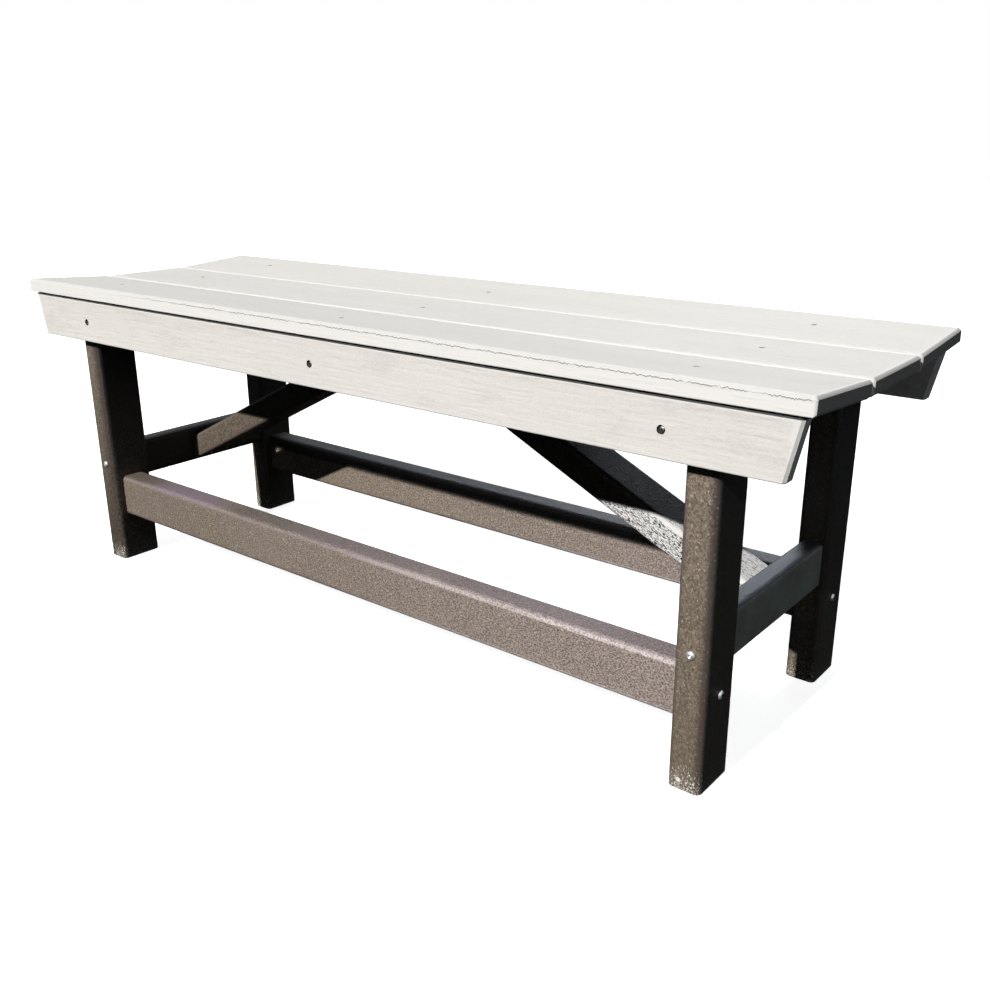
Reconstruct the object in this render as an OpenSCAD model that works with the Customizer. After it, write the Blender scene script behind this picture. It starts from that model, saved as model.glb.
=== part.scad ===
// Backless bench with a dished three-board seat on a bolted plank frame.
// Millimetres. X runs along the bench, Y front (-) to back (+), Z up from the floor.

/* [Seat] */
// Length of the three seat boards
seat_l = 1334; // [1200:2:1500]
// Width of one seat board
board_w = 139.7; // [132:0.1:146]
// Thickness of the seat boards and aprons
board_t = 20; // [18:0.5:22]
// Gap between neighbouring seat boards
board_gap = 8; // [5:0.5:12]
// Rise angle of the front and rear boards
dish = 4.1; // [2:0.1:6]
// Height of the middle board's top face above the floor
seat_h = 459; // [440:1:480]
// Roundover on the edges of the seat boards
board_r = 4.5; // [2:0.5:6]

/* [Frame] */
// Leg size along the bench
leg_x = 41; // [36:0.5:44]
// Leg size front to back
leg_y = 68.5; // [62:0.5:72]
// Distance between the outer faces of the left and right legs
frame_l = 1138; // [1060:1:1200]
// Distance between the outer faces of the front and rear legs
frame_w = 384; // [374:1:390]
// Roundover on the long edges of the frame bars
bar_r = 7.5; // [2:0.5:9]
// Height of the long stretchers and of the seat supports
bar_h = 68.5; // [62:0.5:70]
// Thickness of stretchers, supports and braces
bar_t = 40; // [36:0.5:42]
// Height of the long stretchers' centre line above the floor
stretcher_z = 112.5; // [95:0.5:115]
// Thickness of the end rails
rail_t = 29; // [24:0.5:32]
// Height of the end rails
rail_h = 62; // [58:0.5:66]
// Height of the end rails' centre line above the floor
rail_z = 167.4; // [160:0.2:180]

/* [Aprons] */
// Height of the aprons
apron_h = 66; // [58:0.5:67]
// Length of an apron along its lower edge
apron_l = 1284; // [1220:1:1290]
// Angle by which the apron ends lean outward
apron_lean = 12; // [0:1:15]

/* [Braces] */
// Slope of the right brace above the horizontal
brace_a = 25.26; // [24:0.02:26]
// Slope of the left brace, which starts at the support's face
brace_al = 26.4; // [26:0.1:26.8]
// Distance of the braces' centre line behind the bench's centre
brace_y = 6; // [-5:1:8]

/* [Fasteners] */
// Radius of the bolts' shank
bolt_r = 3; // [2.5:0.1:3.5]
// Radius of the bolts' button head
bolt_head_r = 5.5; // [5:0.1:6.5]
// Radius of the screws' shank
screw_r = 2.1; // [1.8:0.1:2.4]
// Radius of the screws' countersunk head
screw_head_r = 3.4; // [3:0.1:3.8]

/* [Hidden] */
$fn = 48;
eps = 0.1;
c_seat = [0.90, 0.89, 0.86];
c_frame = [0.40, 0.36, 0.32];
c_steel = [0.78, 0.78, 0.80];
under = seat_h - board_t;                       // underside of the middle board
knee = board_w / 2 + board_gap;                 // inner lower edge of a tilted board
leg_cx = frame_l / 2 - leg_x / 2;
leg_cy = frame_w / 2 - leg_y / 2;
leg_h = under + (frame_w / 2 - leg_y - knee) * tan(dish) - 1;
in_x = frame_l / 2 - leg_x;                     // inner face of the legs
sup_cx = in_x - bar_t / 2 - eps;                // centre of an outer support
sup_end = frame_w / 2 - eps;
sup_z0 = under + (sup_end - knee) * tan(dish) - bar_h;
apron_y0 = frame_w / 2 + eps;
apron_z1 = under + (apron_y0 - knee) * tan(dish) - 0.4;
apron_z0 = apron_z1 - apron_h;
apron_sz = apron_z0 + 31;
rail_in = leg_cx - rail_t / 2;                  // inner face of an end rail
// slope of a brace, where its top meets the underside, its fall at x and its upright thickness
function slope(s) = s < 0 ? brace_al : brace_a;
function head(s) = s < 0 ? bar_t / 2 - 1 : 0;
function fall(s, x) = (x - head(s)) * tan(slope(s));
function upright(s) = bar_t / cos(slope(s));
cols = [-1, 0, 1];
// sideways and lengthwise scatter of the hand-set seat screws
col_x = [-5.5, 11, 3.5];
col_y = [8, -11, 4];
// the same for the aprons' screws
apron_dx = [-7, 0, 3];
row_y = [-5, 4, 4];
seat_screw_l = 40;
apron_screw_l = 48;
leg_screw_l = 58;
brace_screw_l = 50;
leg_screw_z = sup_z0 + 13;
brace_pitch = 18;                               // half spacing of a brace's screws
mouth_r = screw_head_r + 1.4;                   // mouth of a screw's countersink
sunk = 1.6;                                     // how far screw heads sit below the face

// rectangle with rounded corners, centred
module rrect(w, h, r) {
  square([w - 2 * r, h], center = true);
  square([w, h - 2 * r], center = true);
  for (i = [-1, 1], j = [-1, 1])
    translate([i * (w / 2 - r), j * (h / 2 - r)]) circle(r);
}

// bar along X, its section given along Y and Z
module bar(l, w, h, r) {
  rotate([90, 0, 90]) linear_extrude(l, center = true) rrect(w, h, r);
}

// plank along X with every edge rounded
module plank(l, w, t, r) {
  intersection() {
    bar(l, w, t, r);
    rotate([90, 0, 0]) linear_extrude(w + 2, center = true) rrect(l, t, r);
  }
}

// countersunk screw, head's face at the origin, pointing down
module screw(l) {
  difference() {
    rotate_extrude() polygon([[0, 0], [screw_head_r, 0], [screw_head_r, -0.4],
      [screw_r, -0.4 - (screw_head_r - screw_r)], [screw_r, -l + 4], [0, -l]]);
    translate([-1.2, -1.2, -1.8]) cube([2.4, 2.4, 3]);
  }
}

// countersunk clearance hole for a screw, face of the board at the origin
module screw_hole(l, up = 1) {
  translate([0, 0, -l]) cylinder(h = l + 1, r = screw_r + 0.3);
  translate([0, 0, -1.2 - (mouth_r - screw_r - 0.3)])
    cylinder(h = mouth_r - screw_r - 0.3 + 0.01, r1 = screw_r + 0.3, r2 = mouth_r);
  translate([0, 0, -1.2]) cylinder(h = 1.2 + up, r = mouth_r);
}

// pilot hole, same origin as its screw
module pilot(l) {
  translate([0, 0, -l - 1]) cylinder(h = l + 1, r = screw_r + 0.1);
}

// button-head bolt with a hexagon socket, seat of the head at the origin
module bolt(l) {
  difference() {
    union() {
      rotate_extrude() polygon([[0, 0.1], [bolt_head_r, 0.1], [bolt_head_r, 0.7],
        [bolt_head_r - 0.6, 1.8], [bolt_head_r - 1.6, 2.8], [bolt_head_r - 2.8, 3.3], [0, 3.3]]);
      translate([0, 0, -l]) cylinder(h = l + 0.2, r = bolt_r);
    }
    translate([0, 0, 1.2]) cylinder(h = 3, r = 2.3, $fn = 6);
  }
}

// axes of the fasteners ---------------------------------------------------

// puts its children on each row's face: 0 front, 1 middle, 2 rear
module on_board(row) {
  s = row - 1;
  if (s == 0) translate([0, 0, under]) children();
  else translate([0, s * knee, under]) rotate([s * dish, 0, 0])
    translate([0, s * board_w / 2, 0]) children();
}

// screw axes of one seat board, face at z = board_t over its underside
module at_seat_screws(row) {
  on_board(row) for (c = [0, 1, 2])
    translate([cols[c] * sup_cx + col_x[c], row_y[row] + col_y[c], board_t]) children();
}

// screw axes of an apron: side -1 front, 1 rear
module at_apron_screws(side) {
  for (c = [0, 1, 2]) translate([cols[c] * sup_cx + apron_dx[c], side * (apron_y0 + board_t), apron_sz])
    rotate([side * -90, 0, 0]) children();
}

// bolts through the legs' outer faces into the long stretchers
module at_stretcher_bolts() {
  for (s = [-1, 1], t = [-1, 1]) translate([s * frame_l / 2, t * leg_cy, stretcher_z])
    rotate([0, s * 90, 0]) children();
}

// bolts through the legs' front and rear faces into the end rails
module at_rail_bolts() {
  for (s = [-1, 1], t = [-1, 1]) translate([s * leg_cx, t * frame_w / 2, rail_z])
    rotate([t * -90, 0, 0]) children();
}

// screws from the outer supports into the legs
module at_support_screws() {
  for (s = [-1, 1], t = [-1, 1], k = [-1, 1])
    translate([s * (sup_cx - bar_t / 2), t * leg_cy + k * 14, leg_screw_z])
      rotate([0, s * -90, 0]) children();
}

// level screws through the braces' slanted faces: s side, low or high end
module at_brace_screws(s, low) {
  x = low ? rail_in - 30 : bar_t / 2 + 30;
  z = low ? under - fall(s, rail_in) - upright(s) + 17 : under - fall(s, x) - 2.8;
  for (k = [-1, 1]) translate([s * x, brace_y + k * brace_pitch, z])
    rotate([0, (low ? -s : s) * 90, 0]) children();
}

// members ------------------------------------------------------------------

module seat_board(row) {
  color(c_seat) difference() {
    on_board(row) translate([0, 0, board_t / 2]) plank(seat_l, board_w, board_t, board_r);
    at_seat_screws(row) screw_hole(board_t + 2);
  }
}

// apron with its ends leaning outward
module apron(side) {
  color(c_seat) difference() {
    intersection() {
      translate([0, side * (apron_y0 + board_t / 2), apron_z0 + apron_h / 2])
        bar(apron_l + 60, board_t, apron_h, 3);
      translate([0, 0, apron_z0]) rotate([90, 0, 0])
        linear_extrude(2 * frame_w, center = true)
          polygon([[-apron_l / 2, 0], [apron_l / 2, 0],
            [apron_l / 2 + apron_h * tan(apron_lean), apron_h],
            [-apron_l / 2 - apron_h * tan(apron_lean), apron_h]]);
    }
    at_apron_screws(side) screw_hole(board_t + 2);
  }
}

module leg(s, t) {
  color(c_frame) difference() {
    translate([s * leg_cx, t * leg_cy, 0]) linear_extrude(leg_h) rrect(leg_x, leg_y, bar_r);
    at_stretcher_bolts() translate([0, 0, -leg_x - 1]) cylinder(h = leg_x + 2, r = bolt_r + 0.2);
    at_rail_bolts() translate([0, 0, -leg_y - 1]) cylinder(h = leg_y + 2, r = bolt_r + 0.2);
    at_support_screws() pilot(leg_screw_l);
  }
}

module stretcher(t) {
  color(c_frame) difference() {
    translate([0, t * leg_cy, stretcher_z]) bar(2 * (in_x - eps), bar_t, bar_h, bar_r);
    at_stretcher_bolts() translate([0, 0, -78]) cylinder(h = 80, r = bolt_r + 0.1);
  }
}

module end_rail(s) {
  color(c_frame) difference() {
    translate([s * leg_cx, 0, rail_z]) rotate([0, 0, 90])
      bar(frame_w - 2 * leg_y - 2 * eps, rail_t, rail_h, bar_r);
    at_rail_bolts() translate([0, 0, -103]) cylinder(h = 104, r = bolt_r + 0.1);
    at_brace_screws(s, true) pilot(brace_screw_l - 1);
  }
}

// cross support whose top follows the dished seat
module support(c) {
  color(c_frame) difference() {
    translate([c * sup_cx, 0, 0]) rotate([90, 0, 90])
      linear_extrude(bar_t, center = true)
        polygon([[-sup_end, sup_z0], [sup_end, sup_z0],
          [sup_end, under - eps + (sup_end - knee) * tan(dish)],
          [knee, under - eps], [-knee, under - eps],
          [-sup_end, under - eps + (sup_end - knee) * tan(dish)]]);
    for (row = [0, 1, 2]) at_seat_screws(row) pilot(seat_screw_l);
    for (t = [-1, 1]) at_apron_screws(t) pilot(apron_screw_l);
    at_support_screws() screw_hole(bar_t + 2);
    for (s = [-1, 1]) at_brace_screws(s, false) pilot(brace_screw_l - 1);
  }
}

// brace laid flat, cut upright where it meets the end rail and the support
module brace(s) {
  color(c_frame) difference() {
    intersection() {
      translate([s * head(s), brace_y, under]) rotate([0, s * slope(s), 0])
        translate([s * 320, 0, -bar_t / 2]) bar(800, leg_y, bar_t, bar_r);
      translate([s * (bar_t / 2 + rail_in) / 2, 0, under / 2])
        cube([rail_in - bar_t / 2 - 2 * eps, 200, under + 100], center = true);
    }
    at_brace_screws(s, true) screw_hole(brace_screw_l + 2, 60);
    at_brace_screws(s, false) screw_hole(brace_screw_l + 2, 60);
  }
}

module seat_screws() {
  color(c_steel) for (row = [0, 1, 2]) at_seat_screws(row)
    translate([0, 0, -sunk]) screw(seat_screw_l);
}
module apron_screws(side) {
  color(c_steel) at_apron_screws(side) translate([0, 0, -sunk]) screw(apron_screw_l);
}
module stretcher_bolts() { color(c_steel) at_stretcher_bolts() bolt(76); }
module end_rail_bolts() { color(c_steel) at_rail_bolts() bolt(100); }
module support_screws() {
  color(c_steel) at_support_screws() translate([0, 0, -sunk]) screw(leg_screw_l - 2);
}
module brace_screws() {
  color(c_steel) for (s = [-1, 1], low = [true, false]) at_brace_screws(s, low)
    translate([0, 0, -sunk]) screw(brace_screw_l - 3);
}

seat_board(0);  // seat_board_front
seat_board(1);  // seat_board_middle
seat_board(2);  // seat_board_rear
apron(-1);  // apron_front
apron(1);  // apron_rear
leg(-1, -1);  // leg_front_left
leg(1, -1);  // leg_front_right
leg(-1, 1);  // leg_rear_left
leg(1, 1);  // leg_rear_right
stretcher(-1);  // stretcher_front
stretcher(1);  // stretcher_rear
end_rail(-1);  // end_rail_left
end_rail(1);  // end_rail_right
support(-1);  // seat_support_left
support(0);  // seat_support_center
support(1);  // seat_support_right
brace(-1);  // brace_left
brace(1);  // brace_right
seat_screws();
apron_screws(-1);  // apron_screws_front
apron_screws(1);  // apron_screws_rear
stretcher_bolts();
end_rail_bolts();
support_screws();
brace_screws();
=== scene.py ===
import math

import bmesh
import bpy
import numpy as np
from mathutils import Matrix, Vector


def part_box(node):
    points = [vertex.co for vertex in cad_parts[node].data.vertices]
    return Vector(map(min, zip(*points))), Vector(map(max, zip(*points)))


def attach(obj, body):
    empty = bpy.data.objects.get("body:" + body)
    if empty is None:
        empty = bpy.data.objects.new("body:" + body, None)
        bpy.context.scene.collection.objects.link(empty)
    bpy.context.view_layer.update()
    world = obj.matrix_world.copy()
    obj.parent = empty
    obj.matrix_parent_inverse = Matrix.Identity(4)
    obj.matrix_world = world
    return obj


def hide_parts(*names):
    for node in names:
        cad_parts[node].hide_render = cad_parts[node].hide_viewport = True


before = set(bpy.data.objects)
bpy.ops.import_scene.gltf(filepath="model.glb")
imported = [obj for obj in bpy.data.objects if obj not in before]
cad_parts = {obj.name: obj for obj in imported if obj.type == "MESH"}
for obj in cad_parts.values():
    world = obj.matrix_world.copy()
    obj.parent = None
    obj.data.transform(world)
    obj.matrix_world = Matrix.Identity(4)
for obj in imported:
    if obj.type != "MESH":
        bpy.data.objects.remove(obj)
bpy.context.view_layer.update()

MM = 0.001

# ---------------------------------------------------------------- dimensions (mm), read off the frame
lo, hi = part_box("seat_board_middle")
SEAT_L, BOARD_W, BOARD_T = [(hi - lo)[i] / MM for i in range(3)]
UNDER = lo.z / MM
GAP, DISH, BOARD_R = 8.0, math.radians(4.1), 4.5
KNEE = BOARD_W / 2 + GAP
lo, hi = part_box("leg_front_right")
LEG_X, LEG_Y, LEG_H = [(hi - lo)[i] / MM for i in range(3)]
LEG_CX = (lo.x + hi.x) / 2 / MM
LEG_CY = -(lo.y + hi.y) / 2 / MM
FRAME_L, FRAME_W = 2 * (LEG_CX + LEG_X / 2), 2 * (LEG_CY + LEG_Y / 2)
IN_X = FRAME_L / 2 - LEG_X
lo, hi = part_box("stretcher_front")
STR_L, BAR_T, BAR_H = [(hi - lo)[i] / MM for i in range(3)]
STR_Z = (lo.z + hi.z) / 2 / MM
lo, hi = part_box("end_rail_right")
RAIL_T, RAIL_L, RAIL_H = [(hi - lo)[i] / MM for i in range(3)]
RAIL_Z = (lo.z + hi.z) / 2 / MM
lo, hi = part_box("apron_front")
APR_L, APR_H, APR_Z0 = (hi.x - lo.x) / MM, (hi.z - lo.z) / MM, lo.z / MM
APR_CY = -(lo.y + hi.y) / 2 / MM
LEAN = math.tan(math.radians(12))
APR_BOT = APR_L / 2 - APR_H * LEAN
lo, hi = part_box("seat_support_right")
SUP_CX, SUP_Z0 = (lo.x + hi.x) / 2 / MM, lo.z / MM
SUP_END = hi.y / MM
lo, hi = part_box("brace_right")
BR_X0, BR_X1 = lo.x / MM, hi.x / MM
BR_Y = (lo.y + hi.y) / 2 / MM
BR_W = (hi.y - lo.y) / MM
BR_A = {1: math.radians(25.26), -1: math.radians(26.4)}
BR_H = {1: 0.0, -1: BAR_T / 2 - 1}
RAIL_IN = LEG_CX - RAIL_T / 2
SCREW_HEAD, MOUTH, SCREW_R, SUNK = 3.4, 4.8, 2.1, 1.6
APR_SZ = APR_Z0 + 31
# where the key light's shadow of the front apron's lower edge falls, z + 0.734 y; the bars' painted shadow and painted
# highlight follow it
SHADOW_LINE = (APR_Z0 - 0.734 * (FRAME_W / 2 + 20)) * MM



def fall(s, x):
    """How far a brace's top has dropped below the seat's underside at x."""
    return (x - BR_H[s]) * math.tan(BR_A[s])


def upright(s):
    return BAR_T / math.cos(BR_A[s])


# ---------------------------------------------------------------- noise


def _hash(ix, iy, iz, seed):
    h = (ix * 374761393 + iy * 668265263 + iz * 1442695041 + seed * 974634777) & 0xFFFFFFFF
    h = ((h ^ (h >> 13)) * 1274126177) & 0xFFFFFFFF
    h = ((h ^ (h >> 16)) * 2246822519) & 0xFFFFFFFF
    return ((h ^ (h >> 15)) & 0xFFFFFF) / float(0xFFFFFF)


def vnoise(x, y, z, seed=0):
    """Smooth value noise in 0..1 at the points (x, y, z)."""
    x, y, z = np.broadcast_arrays(np.asarray(x, float), np.asarray(y, float), np.asarray(z, float))
    ix, iy, iz = (np.floor(v).astype(np.int64) for v in (x, y, z))
    fx, fy, fz = x - ix, y - iy, z - iz
    fx, fy, fz = (f * f * (3 - 2 * f) for f in (fx, fy, fz))
    out = 0.0
    for a in (0, 1):
        for b in (0, 1):
            for c in (0, 1):
                w = (fx if a else 1 - fx) * (fy if b else 1 - fy) * (fz if c else 1 - fz)
                out = out + w * _hash(ix + a, iy + b, iz + c, seed)
    return out


def sstep(a, b, x):
    t = np.clip((x - a) / (b - a), 0, 1)
    return t * t * (3 - 2 * t)


# ---------------------------------------------------------------- lofted bars


def loop_params(w, h, r, da, db, nr, fine=None):
    """The points of a rounded rectangle as (edge or arc, parameter), anticlockwise from the right side."""
    na, nb = max(2, round((w - 2 * r) / da)), max(2, round((h - 2 * r) / db))
    pts = []
    # right side going up, arc, top going left, arc, left going down, arc, bottom going right, arc
    for side, n in ((0, nb), (1, na), (2, nb), (3, na)):
        for i in range(n + 1):
            pts.append((0, side, -1 + 2 * i / n))
        for i in range(1, nr):
            pts.append((1, side, i / nr))
    return pts


def loop_points(params, w, h, r, d, da=None):
    """Positions (a, b) and normals of the loop inset by d (by da across the width, where it differs). r is one radius, or four,
    anticlockwise from the corner at +a +b."""
    da = d if da is None else da
    ww, hh = max(w / 2 - da, 0.0), max(h / 2 - d, 0.0)
    rs = [min(max(v - d, 0.0), ww, hh) for v in (r if isinstance(r, tuple) else (r,) * 4)]
    cs = [(x * (ww - v), y * (hh - v)) for (x, y), v in zip(((1, 1), (-1, 1), (-1, -1), (1, -1)), rs)]
    a, b, na, nb = [], [], [], []
    for kind, side, t in params:
        if kind == 0:
            n = [(1, 0), (0, 1), (-1, 0), (0, -1)][side]
            k0, k1 = side - 1, side
            p0 = (cs[k0][0] + rs[k0] * n[0], cs[k0][1] + rs[k0] * n[1])
            p1 = (cs[k1][0] + rs[k1] * n[0], cs[k1][1] + rs[k1] * n[1])
            p = (p0[0] + (p1[0] - p0[0]) * (t + 1) / 2, p0[1] + (p1[1] - p0[1]) * (t + 1) / 2)
        else:
            th = math.pi / 2 * (side + t)
            n = (math.cos(th), math.sin(th))
            c, rr = cs[side], rs[side]
            p = (c[0] + rr * n[0], c[1] + rr * n[1])
        a.append(p[0]); b.append(p[1]); na.append(n[0]); nb.append(n[1])
    return np.array(a), np.array(b), np.array(na), np.array(nb)


def loft(name, length, w, h, r, place, depth=None, step=3.0, da=2.0, db=2.0, nr=5, end_r=1.2, end_n=3,
         cap_step=2.5, hgt=None, extra=None, plan=1.0):
    """A closed bar along t in [-length/2, length/2]. place(t, a, b) gives the world point in mm, depth(t, a, b, nt, na, nb) how far
    a point sinks inward. hgt(t) gives (height, centre offset) where the section changes along the bar."""
    params = loop_params(w, h, max(r) if isinstance(r, tuple) else r, da, db, nr)
    half = length / 2
    rings = []  # (t, inset, phi signed)
    caps = []
    dmax = min(w, h) / 2
    d = end_r
    while d < dmax - cap_step * 0.6:
        d += cap_step
        caps.append(min(d, dmax))
    if not caps or caps[-1] < dmax - 1e-9:
        caps.append(dmax)
    for d in reversed(caps):
        rings.append((-half, d, -1.0))
    for i in range(end_n, 0, -1):
        phi = math.pi / 2 * i / end_n
        rings.append((-half + end_r * (1 - math.sin(phi)), end_r * (1 - math.cos(phi)), -math.sin(phi)))
    n = max(2, int(round((length - 2 * end_r) / step)))
    ts = np.linspace(-half + end_r, half - end_r, n + 1)
    if extra is not None:
        ts = np.unique(np.concatenate([ts, np.array(extra, float)]))
        keep = np.concatenate([[True], np.diff(ts) > 0.15])
        ts = ts[keep]
    for t in ts:
        rings.append((t, 0.0, 0.0))
    for i in range(1, end_n + 1):
        phi = math.pi / 2 * i / end_n
        rings.append((half - end_r * (1 - math.sin(phi)), end_r * (1 - math.cos(phi)), math.sin(phi)))
    for d in caps:
        rings.append((half, d, 1.0))
    T, A, B, NT, NA, NB, BODY = [], [], [], [], [], [], []
    for t, d, s in rings:
        hh, off = (h, 0.0) if hgt is None else hgt(t)
        a, b, na, nb = loop_points(params, w, hh, r, d, d - (1 - plan) * min(d, end_r))
        c = math.sqrt(max(0.0, 1 - s * s))
        T.append(np.full(len(a), t)); A.append(a); B.append(b + off)
        NT.append(np.full(len(a), s)); NA.append(na * c); NB.append(nb * c)
        BODY.append(np.full(len(a), 1.0 - abs(s)))
    T, A, B, NT, NA, NB = (np.concatenate(v) for v in (T, A, B, NT, NA, NB))
    m = len(params)
    R = len(rings)
    if depth is not None:
        dp = depth(T, A, B, NT, NA, NB)
    else:
        dp = np.zeros(len(T))
    T2, A2, B2 = T - NT * dp, A - NA * dp, B - NB * dp
    co = place(T2, A2, B2) * MM
    i, j = np.meshgrid(np.arange(R - 1), np.arange(m), indexing="ij")
    j2 = (j + 1) % m
    quads = np.stack([i * m + j, i * m + j2, (i + 1) * m + j2, (i + 1) * m + j], -1).reshape(-1, 4)
    me = bpy.data.meshes.new(name)
    me.vertices.add(len(co))
    me.vertices.foreach_set("co", co.astype(np.float32).ravel())
    me.loops.add(quads.size)
    me.loops.foreach_set("vertex_index", quads.astype(np.int32).ravel())
    me.polygons.add(len(quads))
    me.polygons.foreach_set("loop_start", np.arange(0, quads.size, 4, dtype=np.int32))
    me.update(calc_edges=True)
    flat = np.maximum(np.abs(NA), np.abs(NB))
    at = me.attributes.new("flat", "FLOAT", "POINT")
    at.data.foreach_set("value", sstep(0.985, 0.9995, flat).astype(np.float32))
    # weld the collapsed cap rings
    bm = bmesh.new()
    bm.from_mesh(me)
    bm.verts.ensure_lookup_table()
    ends = [bm.verts[k] for k in list(range(m)) + list(range((R - 1) * m, R * m))]
    bmesh.ops.remove_doubles(bm, verts=ends, dist=2e-5)
    bmesh.ops.dissolve_degenerate(bm, dist=1e-6, edges=bm.edges[:])
    bmesh.ops.recalc_face_normals(bm, faces=bm.faces[:])
    bm.to_mesh(me)
    bm.free()
    ob = bpy.data.objects.new(name, me)
    bpy.context.scene.collection.objects.link(ob)
    return ob


# ---------------------------------------------------------------- round parts


def lathe(name, profile, n=40):
    """A closed solid of revolution about Z; profile is (radius, z) in mm from the axis at the top to the axis at the bottom."""
    bm = bmesh.new()
    rows = []
    for r, z in profile:
        if r < 1e-6:
            rows.append([bm.verts.new((0, 0, z * MM))])
        else:
            rows.append([bm.verts.new((r * MM * math.cos(2 * math.pi * k / n), r * MM * math.sin(2 * math.pi * k / n), z * MM)) for k in range(n)])
    for p, q in zip(rows, rows[1:]):
        for k in range(n):
            k2 = (k + 1) % n
            vs = [p[k % len(p)], p[k2 % len(p)], q[k2 % len(q)], q[k % len(q)]]
            vs = [v for i, v in enumerate(vs) if v not in vs[:i]]
            if len(vs) > 2:
                bm.faces.new(vs)
    bmesh.ops.recalc_face_normals(bm, faces=bm.faces[:])
    me = bpy.data.meshes.new(name)
    bm.to_mesh(me)
    bm.free()
    return me


def prism(name, sides, r, z0, z1, turn=0.0, tip=None):
    """A prism about Z, with an optional pointed floor at z = tip."""
    bm = bmesh.new()
    top = [bm.verts.new((r * MM * math.cos(turn + 2 * math.pi * k / sides), r * MM * math.sin(turn + 2 * math.pi * k / sides), z1 * MM)) for k in range(sides)]
    bot = [bm.verts.new((v.co.x, v.co.y, z0 * MM)) for v in top]
    bm.faces.new(top)
    for k in range(sides):
        bm.faces.new([top[k], bot[k], bot[(k + 1) % sides], top[(k + 1) % sides]])
    if tip is None:
        bm.faces.new(bot[::-1])
    else:
        v = bm.verts.new((0, 0, tip * MM))
        for k in range(sides):
            bm.faces.new([bot[(k + 1) % sides], bot[k], v])
    bmesh.ops.recalc_face_normals(bm, faces=bm.faces[:])
    me = bpy.data.meshes.new(name)
    bm.to_mesh(me)
    bm.free()
    return me


def obj_of(me, matrix=None, name=None):
    ob = bpy.data.objects.new(name or me.name, me)
    bpy.context.scene.collection.objects.link(ob)
    if matrix is not None:
        ob.matrix_world = matrix
    return ob


def joined(name, parts):
    """One mesh object of several meshes, each with its matrix; material indices are kept."""
    bm = bmesh.new()
    for me, mat in parts:
        start = len(bm.verts)
        bm.from_mesh(me)
        bm.verts.ensure_lookup_table()
        bmesh.ops.transform(bm, matrix=mat, verts=bm.verts[start:])
    me = bpy.data.meshes.new(name)
    bm.to_mesh(me)
    bm.free()
    for p in parts[0][0].materials:
        me.materials.append(p)
    return obj_of(me)


def cut(ob, cutter_me_matrices, solver="MANIFOLD"):
    """Subtracts the cutters from ob and applies the result."""
    if not cutter_me_matrices:
        return ob
    c = joined(ob.name + "_cutter", cutter_me_matrices)
    mod = ob.modifiers.new("cut", "BOOLEAN")
    mod.operation = "DIFFERENCE"
    mod.solver = solver
    mod.object = c
    try:
        mod.material_mode = "TRANSFER"
    except (AttributeError, TypeError):
        pass
    dg = bpy.context.evaluated_depsgraph_get()
    done = bpy.data.meshes.new_from_object(ob.evaluated_get(dg), preserve_all_data_layers=True, depsgraph=dg)
    ob.modifiers.clear()
    old = ob.data
    ob.data = done
    done.name = old.name
    bpy.data.meshes.remove(old)
    bpy.data.objects.remove(c)
    return ob


def smooth(ob, angle=38):
    me = ob.data
    me.polygons.foreach_set("use_smooth", np.ones(len(me.polygons), bool))
    me.set_sharp_from_angle(angle=math.radians(angle))
    me.update()


# ---------------------------------------------------------------- materials


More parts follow.
